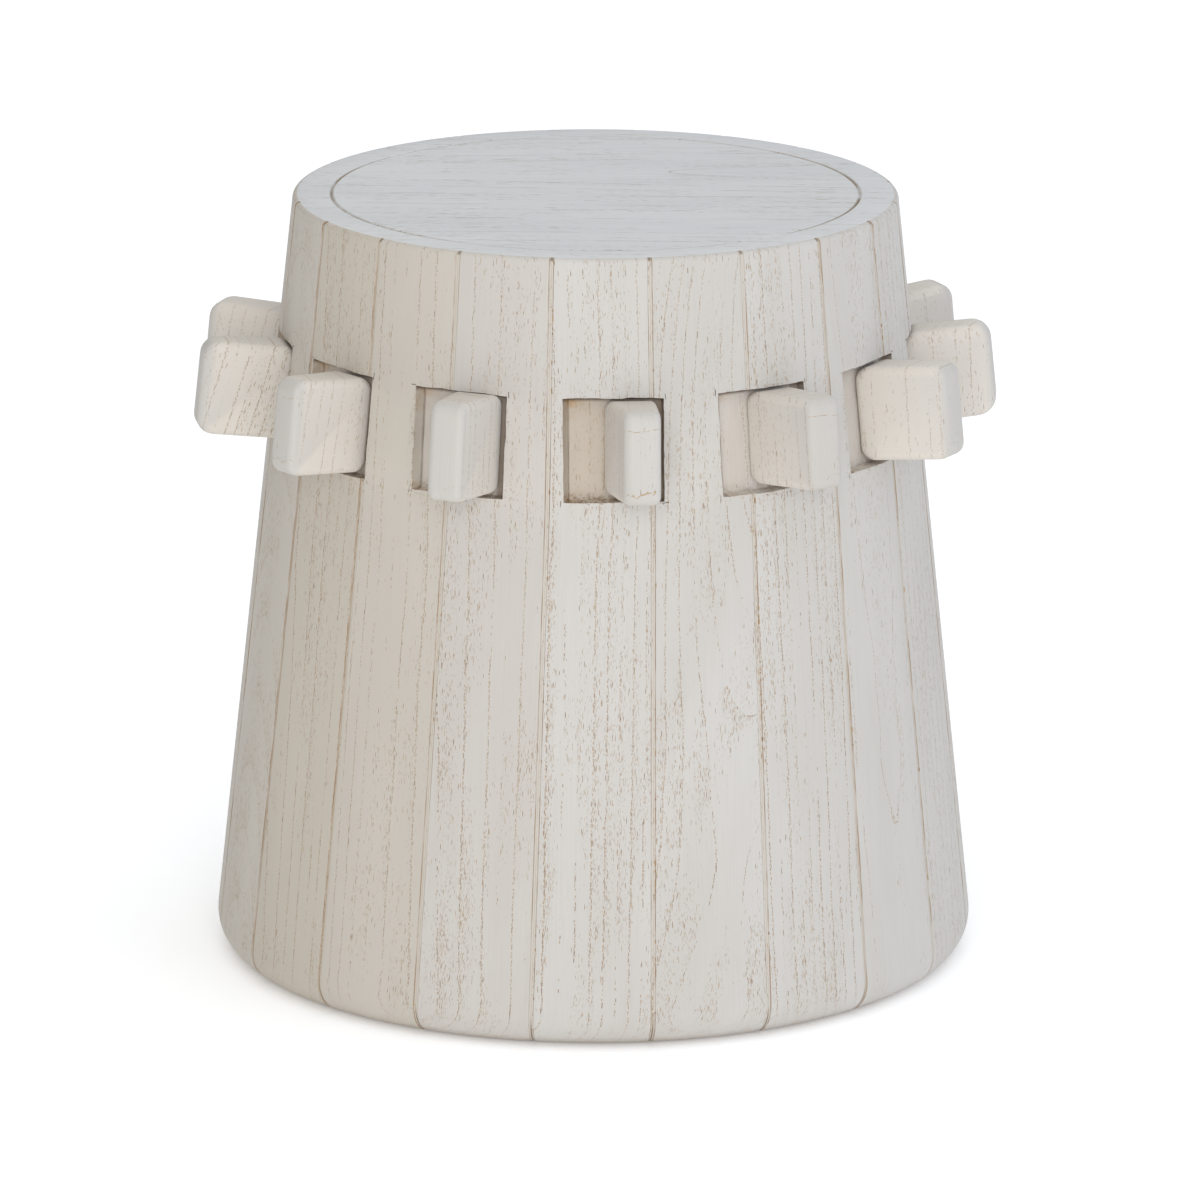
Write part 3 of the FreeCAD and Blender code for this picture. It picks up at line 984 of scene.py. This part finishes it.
def spinBlank(bm, middle):
    # the stave's section, rounded at foot and rim and spun over its share of the drum
    innerRim = drum["rimRadius"] - drum["wall"] - stave["spare"]
    innerFoot = drum["footRadius"] - drum["wall"] - stave["spare"]
    profile = [
        (innerFoot, 0),
        (drum["footRadius"], 0),
        (drum["rimRadius"], drum["height"]),
        (recessRadius, drum["height"]),
        (recessRadius, ledgeHeight),
        (innerRim, ledgeHeight),
    ]
    corners = [bm.verts.new((0, -radius, level)) for radius, level in profile]
    bm.faces.new(corners)
    foot, rim, ring = corners[1:4]
    footOffset = drum["footRound"] / math.tan(math.pi / 4 - lean / 2)
    roundOff(bm, [foot], footOffset, stave["footSteps"], "VERTICES")
    roundOff(bm, [rim], drum["rimRound"], stave["rimSteps"], "VERTICES")
    roundOff(bm, [ring], drum["seatBevel"], 1, "VERTICES")
    turn = Matrix.Rotation(middle - halfStave, 3, "Z")
    bmesh.ops.rotate(bm, verts=bm.verts, cent=(0, 0, 0), matrix=turn)
    spinRound(bm, everything(bm), 2 * halfStave, stave["spinSteps"], False)
    bmesh.ops.recalc_face_normals(bm, faces=bm.faces)


def planeInside(bm, middle):
    # flat inside, and a row of vertices where the staves' lean begins
    outward = outwardAt(middle)
    inside = outward * (drum["footRadius"] - drum["wall"])
    facing = outward * math.cos(lean) + Vector((0, 0, math.sin(lean)))
    cut = bmesh.ops.bisect_plane(
        bm, geom=everything(bm), plane_co=inside, plane_no=facing, clear_inner=True)["geom_cut"]
    bmesh.ops.contextual_create(bm, geom=[item for item in cut if isinstance(item, bmesh.types.BMEdge)])
    turnLevel = (0, 0, stave["turnFrom"])
    bmesh.ops.bisect_plane(bm, geom=everything(bm), plane_co=turnLevel, plane_no=(0, 0, 1))
    bmesh.ops.recalc_face_normals(bm, faces=bm.faces)


def seamEdges(bm):
    # the two long outer edges
    found = []
    slack = stave["mitreSlack"]
    for edge in bm.edges:
        if len(edge.link_faces) != 2:
            continue
        centre = (edge.verts[0].co + edge.verts[1].co) / 2
        outward = Vector((centre.x, centre.y, 0)).normalized()
        normals = [face.normal for face in edge.link_faces]
        mitred = any(abs(normal.dot(outward)) < slack and abs(normal.z) < slack for normal in normals)
        flank = any(normal.dot(outward) > stave["flankFacing"] for normal in normals)
        if mitred and flank and centre.xy.length > recessRadius + stave["seamInset"]:
            found.append(edge)
    return found


def easeSeams(bm, middle):
    # a bevel makes half of each seam, and its rounded corner becomes a small step down to a flat band
    eased = roundOff(bm, seamEdges(bm), seam["bevel"], stave["seamSteps"])
    nearest, furthest = stave["bendLimits"]
    for side in (-1, 1):
        across = -side * girthAt(middle + side * halfStave)
        chains = []
        for vert in eased:
            if abs(vert.co.dot(across)) > stave["onSeam"]:
                continue
            joined = [edge.other_vert(vert) for edge in vert.link_edges]
            bend = [other for other in joined if nearest < other.co.dot(across) < furthest]
            if bend:
                beyond = [edge.other_vert(bend[0]) for edge in bend[0].link_edges]
                chains.append((vert, bend[0], max(beyond, key=lambda other: other.co.dot(across))))
        for vert, bend, top in chains:
            edge = top.co - across * top.co.dot(across)
            inward = (vert.co - edge).normalized()
            bend.co = edge + across * (seam["step"] - seam["stepWidth"]) + inward * seam["depth"]
            vert.co = edge + inward * seam["depth"]


def buildStave(index, middle):
    bm = bmesh.new()
    spinBlank(bm, middle)
    planeInside(bm, middle)
    easeSeams(bm, middle)
    return finishMesh(bm, f"staveBoard{index + 1:02d}", [staveWood, mortiseWood, seatWood, bareWood])


def cutMortises(piece, middle):
    reach = halfStave + math.radians(mortise["halfAngle"])
    for index, pair in enumerate(tools):
        apart = turnOf(mortise, index) - middle
        apart = math.atan2(math.sin(apart), math.cos(apart))
        for tool in pair if abs(apart) < reach else ():
            cutter = piece.modifiers.new("mortise", "BOOLEAN")
            cutter.operation = "DIFFERENCE"
            cutter.solver = "EXACT"
            cutter.material_mode = "INDEX"
            cutter.object = tool
    bpy.context.view_layer.update()
    cut = bpy.data.meshes.new_from_object(piece.evaluated_get(bpy.context.evaluated_depsgraph_get()))
    piece.modifiers.clear()
    old = piece.data
    piece.data = cut
    bpy.data.meshes.remove(old)
    cut.name = piece.name


def dressStave(piece, index, middle):
    mesh = piece.data
    outward = outwardAt(middle)
    girth = girthAt(middle)
    up = Vector((0, 0, math.cos(lean))) - outward * math.sin(lean)
    inward = -outward * math.cos(lean) - Vector((0, 0, math.sin(lean)))
    foot = outward * drum["footRadius"]
    leftNormal = girthAt(middle - halfStave)
    rightNormal = -girthAt(middle + halfStave)
    pith, behind, tilt, slant, footPores, rimPores, stain = grainOf(index)
    warmShade, bold = staveShadeAndBold.get(index, stave["usualShadeAndBold"])
    bow, bowLevel = staveBow.get(index, (0.0, 0.0))
    marks = {"grain": [], "around": [], "sides": [], "pocket": [], "tone": [], "board": []}
    for vert in mesh.vertices:
        away = vert.co - foot
        along = away.dot(up)
        marks["grain"].append((
            away.dot(girth) - pith - slant * along,
            away.dot(inward) + behind - tilt * along,
            along + index * unlike["staveStart"],
        ))
        wrapped = away.dot(girth) + stave["wrap"] * away.dot(inward)
        marks["around"].append((wrapped, bow, along - bowLevel))
        marks["sides"].append((vert.co.dot(leftNormal), vert.co.dot(rightNormal), vert.co.z))
        nearest = nearestMortise(vert.co)
        spot = intoMortise[nearest] @ vert.co
        marks["pocket"].append((spot.x, spot.z, spot.y))
        marks["tone"].append((mortise["tone"].get(nearest, mortise["usualTone"]), warmShade, bold))
        pores = footPores + (rimPores - footPores) * vert.co.z / drum["height"]
        marks["board"].append((index + 1, pores, stain))
    setVectors(mesh, marks)
    topLevel = drum["height"] - stave["topDrop"]
    topRadius = drum["rimRadius"] - stave["topInset"]
    for face in mesh.polygons:
        if face.material_index != flankSlot:
            continue
        if face.normal.dot(inward) > stave["insideFacing"]:
            face.material_index = insideSlot
        elif face.center.z > topLevel and face.center.xy.length < topRadius:
            face.material_index = topSlot
    for vert in mesh.vertices:
        turn = stave["footTurn"] * max(0, 1 - vert.co.z / stave["turnFrom"])
        vert.co = Matrix.Rotation(math.radians(turn), 3, "Z") @ vert.co
    smoothByAngle(mesh, stave["smooth"])
    standFor(piece, f"stave_{index + 1:02d}")


for index in range(stave["count"]):
    middle = turnOf(stave, index)
    board = buildStave(index, middle)
    cutMortises(board, middle)
    dressStave(board, index, middle)
for pair in tools:
    for tool in pair:
        toolMesh = tool.data
        bpy.data.objects.remove(tool)
        bpy.data.meshes.remove(toolMesh)
print("staves cut and dressed")


# Blocks

# A hand-set block strays a little from the drawing: sideways, turned in degrees, taller, shorter in
# reach, lower, and how round its corners are. The rest are drawn by lot.
blockStray = {
    0: (0.0012, -0.7, 0.0008, 0.0, 0.0, 0.007),
    1: (-0.0012, -1.2, 0.0004, 0.0, 0.0, 0.007),
    2: (-0.0010, 0.2, 0.0025, 0.0018, 0.0012, 0.008),
    3: (0.0, 0.0, 0.0024, 0.0030, 0.0010, 0.011),
    4: (0.0, 0.0, 0.0020, -0.0020, 0.0024, 0.010),
    9: (0.0, 0.0, 0.0020, 0.0014, 0.0022, 0.010),
    10: (0.0, 0.0, 0.0026, 0.0, 0.0013, 0.010),
    11: (0.0, 1.2, 0.0025, 0.0, 0.0012, 0.008),
    12: (0.0010, 0.4, 0.0036, 0.0, 0.0, 0.007),
}
strayLimits = ((-0.001, 0.001), (-0.8, 0.8), (0, 0.003), (0, 0.002), (0, 0.001), (0.007, 0.010))
pithLimits = ((-0.03, 0.03), (0.10, 0.16))
slantLimits = (-0.08, 0.08)

# How far the grain of some blocks leans
blockSlant = {0: 0.0, 1: 0.02, 2: -0.03, 3: -0.05, 9: 0.1, 10: 0.2, 11: 0.1, 12: 0.0}

# How clear the scratches near the top and the foot of some noses are
blockScratch = {0: (1.0, 1.0), 1: (1.0, 0.6), 2: (0.0, 0.5), 11: (0.6, 0.5), 12: (0.0, 0.2)}

# How porous some of them are
blockPores = {0: 0.6, 1: 0.6, 2: 0.35, 3: 0.6, 4: 0.5, 9: 0.3, 10: 0.9, 11: 0.4, 12: 0.8}


def runsAcross(edge):
    return abs((edge.verts[0].co - edge.verts[1].co).normalized().x) > block["acrossShare"]


def edgesCheek(edge):
    return sum(abs(face.normal.x) > block["cheekFacing"] for face in edge.link_faces) == 1


def shapeBlock(bm, stray, turn, taller, shorter, lower, corner):
    bmesh.ops.create_cube(bm, size=1.0)
    tall = block["height"] + taller
    nose = shorter - block["reach"] + block["reachSpare"]
    for vert in bm.verts:
        atRoot = vert.co.y > 0
        depth = mortise["depth"] if atRoot else nose
        width = block["rootWidth"] if atRoot else block["noseWidth"]
        across = block["side"] if vert.co.x > 0 else block["side"] - width
        vert.co = Vector((across, depth, block["lift"] - lower + vert.co.z * tall))
    corners = [edge for edge in bm.edges if runsAcross(edge)]
    roundOff(bm, corners, corner, block["cornerSteps"], clamp=True)
    bm.normal_update()
    cheeks = [edge for edge in bm.edges if edgesCheek(edge)]
    roundOff(bm, cheeks, block["edgeRound"], block["edgeSteps"], clamp=True)
    hinge = Vector((block["side"] - block["rootWidth"] / 2, mortise["depth"], 0))
    bmesh.ops.rotate(bm, verts=bm.verts, cent=hinge, matrix=Matrix.Rotation(math.radians(turn), 3, "Z"))
    bmesh.ops.translate(bm, verts=bm.verts, vec=(stray, 0, 0))


def buildBlock(index):
    bm = bmesh.new()
    lot = random.Random(block["lotSeed"] + index)
    byLot = [lot.uniform(*limits) for limits in strayLimits]
    shapeBlock(bm, *blockStray.get(index, byLot))
    local = [vert.co.copy() for vert in bm.verts]
    bm.transform(mortiseFrame(index))
    piece = finishMesh(bm, f"wedgeBlock{index + 1:02d}", [blockWood])
    # the rings lie across the cheeks and along the nose, which stays nearly plain
    pithAcross, pithBefore = [lot.uniform(*limits) for limits in pithLimits]
    slant = blockSlant.get(index, lot.uniform(*slantLimits))
    scratches = blockScratch.get(index, block["usualScratch"])
    porous = blockPores.get(index, block["usualPores"])
    centre = block["side"] - block["noseWidth"] / 2
    upright = intoMortise[index].to_3x3()
    marks = {"grain": [], "around": [], "tone": [], "board": [], "pocket": []}
    for spot, vert in zip(local, piece.data.vertices):
        ring = Vector((spot.x - pithAcross, spot.y + pithBefore - slant * spot.z, 0))
        steep = math.sqrt(max(0, 1 - (upright @ vert.normal).dot(ring.normalized()) ** 2))
        side = 1 if spot.x > centre else -1
        nose = max(0, min(1, (-spot.y - block["noseFrom"]) / block["noseFade"]))
        wrapped = spot.x + side * (spot.y + block["reach"] - slant * spot.z)
        faint = block["flatFade"] * max(0, block["flatSteep"] - steep)
        pores = porous * (1 - block["nosePores"] * nose)
        marks["grain"].append((ring.x, ring.y, spot.z + index * unlike["blockStart"]))
        marks["around"].append((wrapped, steep, 0))
        marks["tone"].append((*scratches, -faint))
        marks["board"].append((block["grainSeed"] + index, pores, 1 - nose))
        marks["pocket"].append((spot.x, spot.z, spot.y))
    setVectors(piece.data, marks)
    smoothByAngle(piece.data, block["smooth"])
    standFor(piece, f"block_{index + 1:02d}")


for index in range(mortise["count"]):
    buildBlock(index)
print("blocks set")


# Seat

def buildSeat():
    bm = bmesh.new()
    radius = recessRadius - drum["seatGap"]
    top = drum["height"]
    profile = [
        (0, ledgeHeight),
        (radius, ledgeHeight),
        (radius, top - drum["seatBevel"]),
        (radius - drum["seatBevel"], top),
        (0, top),
    ]
    corners = [bm.verts.new((0, -across, level)) for across, level in profile]
    rims = [bm.edges.new(pair) for pair in zip(corners, corners[1:])]
    spinRound(bm, corners + rims, 2 * math.pi, seat["steps"], True)
    piece = finishMesh(bm, "seatDisc", [seatWood, bareWood])
    mesh = piece.data
    pithAcross, pithBelow = seat["underPith"]
    places = [vert.co for vert in mesh.vertices]
    setVectors(mesh, {
        "grain": [(place.y + pithAcross, place.z + pithBelow, place.x) for place in places],
        "around": [(place.y, 0, 0) for place in places],
        "board": [(seat["seed"], 1.0, 0.0)] * len(places),
    })
    for face in mesh.polygons:
        if face.normal.z < seat["underFacing"]:
            face.material_index = 1
    smoothByAngle(mesh, seat["smooth"])
    standFor(piece, "seat_panel")


buildSeat()

for name in ("stave_splines", "block_tenons"):
    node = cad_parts[name]
    for slot in node.material_slots:
        slot.material = hiddenWood
print("seat laid, inner pieces dressed")


# Studio

studio = {
    "focal": 249.1,
    "sensor": 36,
    "clipEnd": 100,
    "cameraPlace": (0.00334, -4.7694, 1.5121),
    "pitch": 15.29,
    "roll": 0.0031,
    "white": (1.0, 1.0, 1.0, 1.0),
    "skyLeft": (0.0, 0.0, 0.0, 1.0),
    "skyRight": (0.64, 0.75, 0.95, 1.0),
    "skyTop": (1.09, 1.10, 1.10, 1.0),
    "skyAcross": (-0.7, 0.7),
    "skyUp": (0.1, 0.9),
    "keyPlace": (-0.05, -3.2, 1.1),
    "keyTarget": (0, 0, 0.22),
    "keySize": 1.6,
    "keyPower": 38,
    "keyColour": (1.0, 0.98, 0.96),
    "floor": shade(250, 250, 250),
    "floorSize": 30,
    "floorRough": 0.9,
    "floorGlow": 0.19,
}


def addSky(scene):
    world = bpy.data.worlds.new("studioWorld")
    world.use_nodes = True
    sky = Shader(world.node_tree)
    direction = sky.split(sky.node("ShaderNodeTexCoord", {}, {}, "Generated"))
    colour = sky.mix(direction[0].step(*studio["skyAcross"]), studio["skyLeft"], studio["skyRight"])
    colour = sky.mix(direction[2].step(*studio["skyUp"]), colour, studio["skyTop"])
    seen = sky.node("ShaderNodeLightPath", {}, {}, "Is Camera Ray")
    colour = sky.mix(seen, colour, studio["white"])
    sky.fill(world.node_tree.nodes["Background"], {"Color": colour, "Strength": 1.0})
    scene.world = world


def addFloor():
    bm = bmesh.new()
    bmesh.ops.create_grid(bm, x_segments=1, y_segments=1, size=studio["floorSize"])
    paper, shader, surface = newMaterial("floorPaper")
    shader.fill(surface, {
        "Base Color": studio["floor"],
        "Roughness": studio["floorRough"],
        "Specular IOR Level": 0.0,
        "Emission Color": studio["white"],
        "Emission Strength": studio["floorGlow"],
    })
    floor = finishMesh(bm, "studioFloor", [paper])


def addKeyPanel(scene):
    data = bpy.data.lights.new("keyPanel", "AREA")
    data.shape = "RECTANGLE"
    data.size = studio["keySize"]
    data.size_y = studio["keySize"]
    data.energy = studio["keyPower"]
    data.color = studio["keyColour"]
    lamp = bpy.data.objects.new("keyPanel", data)
    lamp.location = studio["keyPlace"]
    aim = Vector(studio["keyTarget"]) - Vector(studio["keyPlace"])
    lamp.rotation_euler = aim.to_track_quat("-Z", "Y").to_euler()
    scene.collection.objects.link(lamp)


def addCamera(scene):
    camera = bpy.data.objects.new("camera", bpy.data.cameras.new("camera"))
    camera.data.lens = studio["focal"]
    camera.data.sensor_width = studio["sensor"]
    camera.data.clip_end = studio["clipEnd"]
    pitch = Matrix.Rotation(math.pi / 2 - math.radians(studio["pitch"]), 4, "X")
    roll = Matrix.Rotation(studio["roll"], 4, "Z")
    camera.matrix_world = Matrix.Translation(studio["cameraPlace"]) @ pitch @ roll
    scene.collection.objects.link(camera)
    scene.camera = camera


bpy.context.scene.view_settings.view_transform = "Standard"
addSky(bpy.context.scene)
addFloor()
addKeyPanel(bpy.context.scene)
addCamera(bpy.context.scene)
print("studio set")
